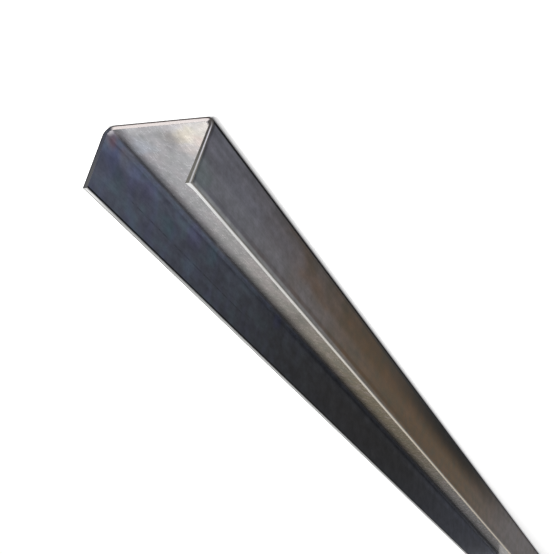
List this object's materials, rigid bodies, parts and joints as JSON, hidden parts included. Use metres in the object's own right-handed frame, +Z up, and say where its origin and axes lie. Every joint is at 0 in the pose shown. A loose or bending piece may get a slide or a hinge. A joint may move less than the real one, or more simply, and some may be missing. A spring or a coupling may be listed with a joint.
{
  "type": "steel u-channel",
  "caption": "Length of folded steel U-channel: a flat web with two equal flanges turned up from it through rounded folds, cut square at both ends. Open framing stock.",
  "frame": {"origin": "middle of the web's underside, half way along the length", "axes": "+X along the length, +Y across the web from one flange to the other, +Z up from the web towards the flange tips"},
  "size_m": [1, 0.07, 0.04],
  "materials": {
    "mill_scale_steel": "thin blue-grey mill scale, satin, with bright slit and cut edges"
  },
  "bodies": {
    "root": {"channel": "mill_scale_steel"}
  },
  "joints": []
}
